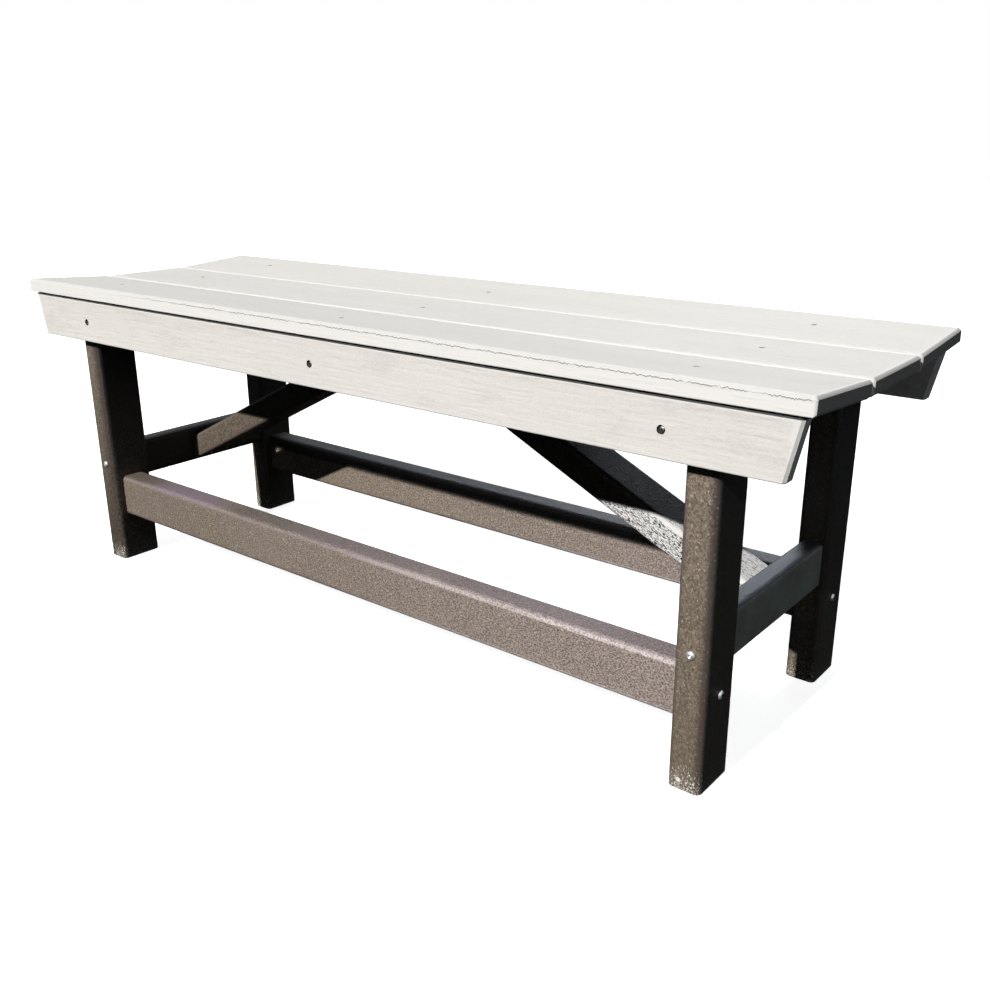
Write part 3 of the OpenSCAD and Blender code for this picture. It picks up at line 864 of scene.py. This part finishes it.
for side, nm in ((-1, "front"), (1, "rear")):
    # local a runs up, b out of the face
    m = T(0, side * APR_CY, APR_Z0 + APR_H / 2) @ rx(90)
    seed = 50 + 7 * side
    ref = APR_BOT * 2

    def place(t, a, b, m=m):
        x = t * (1 + (a + APR_H / 2) * LEAN / APR_BOT)
        return apply_matrix(m, x, a, b)

    def dep(t, a, b, nt, na, nb, seed=seed):
        g = seat_depth(seed)
        flat = sstep(0.97, 0.999, np.abs(nb)) * (np.abs(nt) < 0.2) * sstep(0, 2, APR_H / 2 - 3.6 - np.abs(a))
        g1 = vnoise(t / 55, a / 2.6, np.sign(b) * 7.0, seed)
        g2 = vnoise(t / 22, a / 1.9, np.sign(b) * 9.0, seed + 1)
        out = flat * (0.12 * sstep(0.42, 0.85, g1) + 0.08 * sstep(0.5, 0.9, g2) + 0.05)
        out = out + 0.05 * vnoise(t / 30, a / 12, b / 12, seed + 3)
        return out + sstep(0.9, 1.0, np.abs(nt)) * 0.1 * vnoise(t, a / 1.6, b / 24, seed + 6)

    mat = seat_material("apron_plank_" + nm, 5 + side, bright=1.02, smudge=0.30, marks=1.6,
                        under_board_shade=((APR_Z0 + APR_H - 2.9) * MM, (APR_Z0 + APR_H - 2.3) * MM))
    ob = loft("apron_" + nm + "_plank", ref, APR_H, BOARD_T, (1.0, 2.0, 2.0, 1.0), place, dep, step=4.0, da=1.1, db=1.6, nr=4, end_r=3.0, end_n=1, cap_step=1.4, plan=0.3)
    ob.data.materials.append(mat)
    cut(ob, [(screw_cutter(BOARD_T + 2, 3, RECESS_SHADE), ax) for ax in apron_screw_axes(side)])
    # attributes, with the lean taken out
    me = ob.data
    paint_board(ob, seed, m.inverted(), APR_H / 2, APR_BOT + APR_H * LEAN / 2, 3.0)
    finish_piece(ob, ["apron_" + nm], "seat_boards", [mat, RECESS_SHADE])

# ---------------------------------------------------------------- frame bars


def pebble(seed, along=2.0, deep=1.0, w=1.0, saw=0.16):
    """Moulded unevenness of the bars: soft pebbles, a slow wave, a few dents, saw marks on the ends."""

    def f(t, a, b, nt, na, nb):
        p = vnoise(t / 5.2, a / 4.0, b / 4.0, seed)
        q = vnoise(t / 11, a / 7, b / 7, seed + 1)
        slow = vnoise(t / 120, a / 40, b / 40, seed + 2)
        body = sstep(0.6, 0.2, np.abs(nt))
        dent = sstep(0.80, 0.93, vnoise(t / 16, a / 9, b / 9, seed + 3))
        out = deep * (0.13 * p + 0.10 * q + 0.20 * slow + 0.28 * dent * body)
        cutm = sstep(0.9, 1.0, np.abs(nt))
        out = out + cutm * saw * (vnoise(t, a / 1.3, b / 30, seed + 4) + 0.5 * vnoise(t, a / 3.5, b / 60, seed + 5))
        chip = sstep(0.25, 0.9, np.abs(nt)) * sstep(0.99, 0.7, np.abs(nt)) * sstep(0.70, 0.9, vnoise(t, a / 3.2, b / 3.2, seed + 6))
        return out + 0.5 * chip

    return f


BAR_R = 7.5
CHIPS = ((0.5425, 0.0125, 0.0031), (0.5610, 0.0135, 0.0012), (0.5590, 0.0085, 0.0010), (0.5560, 0.0230, 0.0008), (0.5340, 0.0190, 0.0007))
for s, sn in ((-1, "left"), (1, "right")):
    for t_, tn in ((-1, "front"), (1, "rear")):
        node = f"leg_{tn}_{sn}"
        seed = 100 + 20 * (s + 1) + 7 * (t_ + 1)
        place = lambda t, a, b, s=s, t_=t_: np.stack([s * LEG_CX + a, t_ * LEG_CY + b, t + LEG_H / 2], -1)
        ob = loft("post_" + tn + "_" + sn, LEG_H, LEG_X, LEG_Y, BAR_R, place, pebble(seed), step=2.6, da=2.0, db=2.2, nr=8, end_r=1.3, end_n=3, cap_step=3.0)
        xr = (s * LEG_CX + LEG_X / 2) * MM
        # the front-left leg is painted much darker towards the ground, as painted shade
        mat = frame_material("post_skin_" + tn + "_" + sn, seed * 0.13, "Z", gain=(1.0, 1.10)[s > 0], grain=(0.95, 1.05)[s > 0], foot=True, low=0.95 if (s, t_) == (-1, -1) else 0.40, side_shade=0.85, apron_shadow=0.8, edge_shade=(xr - (0.014 if s > 0 else 0.024), xr - (0.002 if s > 0 else 0.005)),
                             skin=(0.15, 0.115, 0.112), inner_shade=-s, spots=CHIPS if (s, t_) == (1, -1) else ())
        ob.data.materials.append(mat)
        cuts = [(rod_cutter(3.2, -LEG_X - 1, 1, BORE), ax) for ax in stretcher_bolt_axes()
                if (ax.translation.x > 0) == (s > 0) and (ax.translation.y > 0) == (t_ > 0)]
        cuts += [(rod_cutter(3.2, -LEG_Y - 1, 1, BORE), ax) for ax in rail_bolt_axes()
                 if (ax.translation.x > 0) == (s > 0) and (ax.translation.y > 0) == (t_ > 0)]
        cuts += [(rod_cutter(2.2, -59, -37, BORE), ax) for ax in support_screw_axes()
                 if (ax.translation.x > 0) == (s > 0) and (ax.translation.y > 0) == (t_ > 0)]
        cut(ob, cuts)
        finish_piece(ob, [node], "frame_bars", [mat, BORE])

for t_, tn in ((-1, "front"), (1, "rear")):
    seed = 210 + 9 * t_
    place = lambda t, a, b, t_=t_: np.stack([t, t_ * LEG_CY + a, STR_Z + b], -1)
    ob = loft("stretcher_bar_" + tn, STR_L, BAR_T, BAR_H, BAR_R, place, pebble(seed), step=3.0, da=2.2, db=2.2, nr=8, end_r=1.2, end_n=3, cap_step=3.0)
    # the front stretcher's top: dark is painted shade, plum painted sheen, rose a pinker tint; the rear stretcher's top
    # gets a blue-grey painted sheen
    dark, plum_sheen, rose = (0.10, 0.082, 0.068), (0.28, 0.205, 0.30), (0.175, 0.130, 0.158)
    top_shade_and_sheen = ((-0.60, -0.445, 0.80, dark), (-0.435, -0.285, 0.85, plum_sheen), (-0.255, -0.10, 0.65, dark), (-0.08, 0.15, 0.60, rose),
             (0.17, 0.60, 0.70, rose)) if t_ < 0 else ((-0.6, 0.6, 0.6, (0.36, 0.38, 0.44)),)
    mat = frame_material("stretcher_skin_" + tn, seed * 0.11, "X", gain=1.08 if t_ < 0 else 1.24, grain=1.45, pink=0.9, skin=(0.27, 0.215, 0.215), far=(0.80, 0.72, 0.72), top_shade_and_sheen=top_shade_and_sheen, size=1.6, apron_shadow=0.8)
    ob.data.materials.append(mat)
    cut(ob, [(rod_cutter(3.1, -78, 1, BORE), ax) for ax in stretcher_bolt_axes() if (ax.translation.y > 0) == (t_ > 0)])
    finish_piece(ob, ["stretcher_" + tn], "frame_bars", [mat, BORE])

for s, sn in ((-1, "left"), (1, "right")):
    seed = 300 + 9 * s
    place = lambda t, a, b, s=s: np.stack([s * LEG_CX - a, t, RAIL_Z + b], -1)
    ob = loft("rail_" + sn, RAIL_L, RAIL_T, RAIL_H, BAR_R, place, pebble(seed), step=2.6, da=2.0, db=2.2, nr=8, end_r=1.2, end_n=3, cap_step=3.0)
    mat = frame_material("rail_skin_" + sn, seed * 0.17, "Y", grain=0.8, dust_and_sheen=0.95 if s > 0 else 0.0, inner_shade=1 if s < 0 else 0)
    ob.data.materials.append(mat)
    cuts = [(rod_cutter(3.1, -103, 1, BORE), ax) for ax in rail_bolt_axes() if (ax.translation.x > 0) == (s > 0)]
    cuts += [(rod_cutter(2.2, -50, -29, BORE), ax) for ax in brace_screw_axes(s, True)]
    cut(ob, cuts)
    finish_piece(ob, ["end_rail_" + sn], "frame_bars", [mat, BORE])

# supports: a bar along Y whose top follows the seat
SUP_TOP = UNDER - 0.1


def sup_h(t):
    top = SUP_TOP + max(0.0, abs(t) - KNEE) * math.tan(DISH)
    return top - SUP_Z0, (top + SUP_Z0) / 2


for c, sn in ((-1, "left"), (0, "center"), (1, "right")):
    seed = 400 + 11 * c
    place = lambda t, a, b, c=c: np.stack([c * SUP_CX - a, t, b], -1)
    ob = loft("support_" + sn, 2 * SUP_END, BAR_T, SUP_TOP - SUP_Z0 + 5, 2.5, place, pebble(seed), step=3.0, da=2.4, db=2.4, nr=4, end_r=1.2, end_n=3,
              cap_step=3.0, hgt=sup_h, extra=(-KNEE, KNEE))
    mat = frame_material("support_skin_" + sn, seed * 0.07, "Y", apron_shadow=0.5)
    ob.data.materials.append(mat)
    mine = lambda ax: abs(ax.translation.x / MM - c * SUP_CX) < 60
    cuts = [(rod_cutter(2.2, -41, 1, BORE), ax) for row in range(3) for ax in seat_screw_axes(row) if mine(ax)]
    cuts += [(rod_cutter(2.2, -49, 1, BORE), ax) for sd in (-1, 1) for ax in apron_screw_axes(sd) if mine(ax)]
    if c:
        cuts += [(screw_cutter(BAR_T + 2, 3, RECESS_SHADE), ax) for ax in support_screw_axes() if (ax.translation.x > 0) == (c > 0)]
    else:
        cuts += [(rod_cutter(2.2, -50, -29, BORE), ax) for s in (-1, 1) for ax in brace_screw_axes(s, False)]
    cut(ob, cuts)
    finish_piece(ob, ["seat_support_" + sn], "frame_bars", [mat, BORE])

for s, sn in ((-1, "left"), (1, "right")):
    seed = 500 + 9 * s
    xm = (BR_X0 + BR_X1) / 2

    def place(t, a, b, s=s, xm=xm):
        # upright sections, sheared along the slope; local a runs across, b up
        x = xm + t
        z = UNDER - fall(s, x) - upright(s) / 2 + b
        return np.stack([s * x, BR_Y - s * a, z], -1)

    ob = loft("brace_bar_" + sn, BR_X1 - BR_X0, BR_W, upright(s), BAR_R, place, pebble(seed), step=2.8, da=2.2, db=2.2, nr=8, end_r=1.0, end_n=2, cap_step=3.0)
    me = ob.data
    mat = frame_material("brace_skin_" + sn, seed * 0.19, "X", tilt=-s * BR_A[s], gain=0.74 if s < 0 else 0.62, sunlit_highlight=s > 0, brace_top_shade=0.92, apron_shadow=0.8)
    ob.data.materials.append(mat)
    cuts = [(screw_cutter(52, 70, RECESS_SHADE), ax) for low in (True, False) for ax in brace_screw_axes(s, low)]
    cut(ob, cuts)
    finish_piece(ob, ["brace_" + sn], "frame_bars", [mat, RECESS_SHADE])

# ---------------------------------------------------------------- fasteners


def screw_mesh(l, name, shaded_rim=False):
    hr, r = SCREW_HEAD, SCREW_R
    prof = [(0, 0), (1.2, -0.04), (2.0, -0.16), (2.7, -0.40), (3.15, -0.66), (hr - 0.08, -0.85), (hr, -1.0), (hr, -1.15), (r + 0.3, -1.15 - (hr - r) + 0.3), (r, -1.15 - (hr - r) - 0.3)]
    z = -6.0
    while z > -l + 6:
        prof += [(r * 0.80, z), (r * 0.99, z - 0.55), (r * 0.80, z - 1.1)]
        z -= 1.7
    prof += [(r * 0.8, -l + 4), (0, -l)]
    me = lathe(name, prof, 32)
    ob = obj_of(me, name=name + "_tmp")
    me.materials.append(SCREW_STEEL)
    if shaded_rim:
        # painted shade: the outer ring of the head takes the dark recess colour
        me.materials.append(RECESS_SHADE)
        for poly in me.polygons:
            if math.hypot(poly.center[0] / MM, poly.center[1] / MM) > 2.4:
                poly.material_index = 1
    sq = prism("driver", 4, 1.35, -1.8, 1.0, math.radians(20), -2.2)
    # painted shade: the driver recess takes the dark recess colour
    sq.materials.append(RECESS_SHADE)
    cut(ob, [(sq, Matrix.Identity(4))])
    me = ob.data.copy()
    bpy.data.objects.remove(ob)
    return me


def bolt_mesh(l, name, inner):
    prof = [(0, 3.3), (2.6, 3.3), (3.4, 3.08), (4.2, 2.55), (4.85, 1.85), (5.25, 1.15), (5.42, 0.72), (5.47, 0.45), (5.42, 0.22), (5.2, 0.1), (3.0, 0.1), (2.95, 0.0)]
    z = -30.0
    prof.append((2.95, z))
    while z > -l + 4:
        prof += [(2.45, z - 0.45), (2.95, z - 0.9)]
        z -= 1.0
    prof += [(2.4, -l + 0.6), (1.9, -l), (0, -l)]
    me = lathe(name, prof, 48)
    ob = obj_of(me, name=name + "_tmp")
    me.materials.append(BOLT_STEEL)
    hx = prism("hex", 6, 2.31, 1.3, 5.0, 0.3, 0.5)
    # the socket's colour: dark painted shade for the stretcher bolts, bare steel for the rail bolts
    hx.materials.append(inner)
    cut(ob, [(hx, Matrix.Identity(4))])
    me = ob.data.copy()
    bpy.data.objects.remove(ob)
    return me


def group(name, me, axes, nodes, slot, mats, turn=37.0, drop=0.0):
    parts = [(me, ax @ T(0, 0, -drop) @ Matrix.Rotation(math.radians(turn * i), 4, "Z")) for i, ax in enumerate(axes)]
    ob = joined(name, parts)
    ob.name = name
    return finish_piece(ob, nodes, slot, mats, 32)


group("screws_seat", screw_mesh(40, "screw40"), [a for r in range(3) for a in seat_screw_axes(r)], ["seat_screws"], "screws", [SCREW_STEEL, RECESS_SHADE], drop=SUNK)
s48 = screw_mesh(48, "screw48", shaded_rim=True)
group("screws_apron_front", s48, apron_screw_axes(-1), ["apron_screws_front"], "screws", [SCREW_STEEL, RECESS_SHADE], drop=SUNK)
group("screws_apron_rear", s48, apron_screw_axes(1), ["apron_screws_rear"], "screws", [SCREW_STEEL, RECESS_SHADE], drop=SUNK)
group("screws_support", screw_mesh(56, "screw56"), support_screw_axes(), ["support_screws"], "screws", [SCREW_STEEL, RECESS_SHADE], drop=SUNK)
group("screws_brace", screw_mesh(47, "screw47"), [a for s in (-1, 1) for low in (True, False) for a in brace_screw_axes(s, low)], ["brace_screws"], "screws",
      [SCREW_STEEL, RECESS_SHADE], drop=SUNK)
group("bolts_stretcher", bolt_mesh(76, "bolt76", RECESS_SHADE), stretcher_bolt_axes(), ["stretcher_bolts"], "bolts", [BOLT_STEEL, RECESS_SHADE])
group("bolts_rail", bolt_mesh(100, "bolt100", BOLT_STEEL), rail_bolt_axes(), ["end_rail_bolts"], "bolts", [BOLT_STEEL, BOLT_STEEL])

# ---------------------------------------------------------------- stage: a plain floor


def stage_mesh():
    bm = bmesh.new()
    bmesh.ops.create_circle(bm, cap_ends=True, segments=96, radius=16.0)
    me = bpy.data.meshes.new("studio_floor")
    bm.to_mesh(me)
    bm.free()
    return obj_of(me)


floor = stage_mesh()
k = Nodes("studio_floor")
k.b.inputs["Roughness"].default_value = 0.9
k.b.inputs["Specular IOR Level"].default_value = 0.1
k.b.inputs["Base Color"].default_value = (0.86, 0.86, 0.855, 1)
dim = k.n("ShaderNodeBsdfDiffuse")
dim.inputs["Color"].default_value = (0.006, 0.007, 0.007, 1)
glow = k.n("ShaderNodeEmission")
glow.inputs["Color"].default_value = (1, 1, 1, 1)
glow.inputs["Strength"].default_value = 0.90
add = k.n("ShaderNodeAddShader")
k.t.links.new(k.b.outputs[0], add.inputs[0])
k.t.links.new(glow.outputs[0], add.inputs[1])
lp = k.n("ShaderNodeLightPath")
mx = k.n("ShaderNodeMixShader")
k.t.links.new(lp.outputs["Is Camera Ray"], mx.inputs[0])
k.t.links.new(dim.outputs[0], mx.inputs[1])
k.t.links.new(add.outputs[0], mx.inputs[2])
k.t.links.new(mx.outputs[0], k.out.inputs[0])
floor.data.materials.append(k.m)

# ---------------------------------------------------------------- light


def sun(name, travel, strength, angle, color):
    l = bpy.data.lights.new(name, "SUN")
    l.energy = strength
    l.angle = math.radians(angle)
    l.color = color
    o = bpy.data.objects.new(name, l)
    bpy.context.scene.collection.objects.link(o)
    o.rotation_mode = "QUATERNION"
    o.rotation_quaternion = Vector(travel).normalized().to_track_quat("-Z", "Y")
    return o


sun("key", (0.052, 1.0, -0.734), 3.35, 1.2, (1.0, 0.975, 0.94))
sun("overhead", (0.02, 0.12, -1.0), 0.66, 30, (0.96, 0.98, 1.0))
# low from behind: gives the upward faces their sheen, leaves the front and right faces dark
sun("back", (0.42, -1.0, -0.36), 0.50, 24, (0.86, 0.92, 1.0))
# faint, from the right: opens up the right-hand faces
sun("side", (-1.0, 0.22, -0.30), 0.19, 50, (0.90, 0.97, 1.0))

world = bpy.data.worlds.new("studio")
bpy.context.scene.world = world
world.use_nodes = True
wt = world.node_tree
wt.nodes.clear()


def wn(kind, **kw):
    node = wt.nodes.new(kind)
    for a_, v_ in kw.items():
        setattr(node, a_, v_)
    return node


wo = wn("ShaderNodeOutputWorld")
fill = wn("ShaderNodeBackground")
fill.inputs["Color"].default_value = (0.55, 0.90, 1.0, 1)
fill.inputs["Strength"].default_value = 0.009
sheen = wn("ShaderNodeBackground")
seen = wn("ShaderNodeBackground")
seen.inputs["Color"].default_value = (1, 1, 1, 1)
seen.inputs["Strength"].default_value = 1.0
# soft box overhead, seen in the gloss of the upward faces
tc = wn("ShaderNodeTexCoord")
sp = wn("ShaderNodeSeparateXYZ")
mr = wn("ShaderNodeMapRange", interpolation_type="SMOOTHSTEP")
for key, val in (("From Min", 0.04), ("From Max", 0.28), ("To Min", 0.0), ("To Max", 0.60)):
    mr.inputs[key].default_value = val
wt.links.new(tc.outputs["Generated"], sp.inputs[0])
wt.links.new(sp.outputs[2], mr.inputs["Value"])
sheen.inputs["Color"].default_value = (0.80, 0.88, 1.0, 1)
wt.links.new(mr.outputs[0], sheen.inputs["Strength"])
wl = wn("ShaderNodeLightPath")
m1 = wn("ShaderNodeMixShader")
m2 = wn("ShaderNodeMixShader")
wt.links.new(wl.outputs["Is Glossy Ray"], m1.inputs[0])
wt.links.new(fill.outputs[0], m1.inputs[1])
wt.links.new(sheen.outputs[0], m1.inputs[2])
wt.links.new(wl.outputs["Is Camera Ray"], m2.inputs[0])
wt.links.new(m1.outputs[0], m2.inputs[1])
wt.links.new(seen.outputs[0], m2.inputs[2])
wt.links.new(m2.outputs[0], wo.inputs[0])

bpy.context.scene.view_settings.view_transform = "Standard"
bpy.context.scene.view_settings.look = "None"

# ---------------------------------------------------------------- camera
cam = bpy.data.cameras.new("camera")
cam.sensor_width = 36.0
cam.lens = 37.637
cam.clip_start, cam.clip_end = 0.05, 60
co = bpy.data.objects.new("camera", cam)
bpy.context.scene.collection.objects.link(co)
az, el, ro = math.radians(38.6705), math.radians(-19.1735), math.radians(-0.296)
fwd = Vector((-math.sin(az) * math.cos(el), math.cos(az) * math.cos(el), math.sin(el)))
right = fwd.cross(Vector((0, 0, 1))).normalized()
up = right.cross(fwd)
r2 = right * math.cos(ro) + up * math.sin(ro)
u2 = -right * math.sin(ro) + up * math.cos(ro)
M = Matrix((r2, u2, -fwd)).transposed().to_4x4()
M.translation = Vector((0.99609, -1.07920, 0.68567))
co.matrix_world = M
bpy.context.scene.camera = co

bpy.context.view_layer.update()
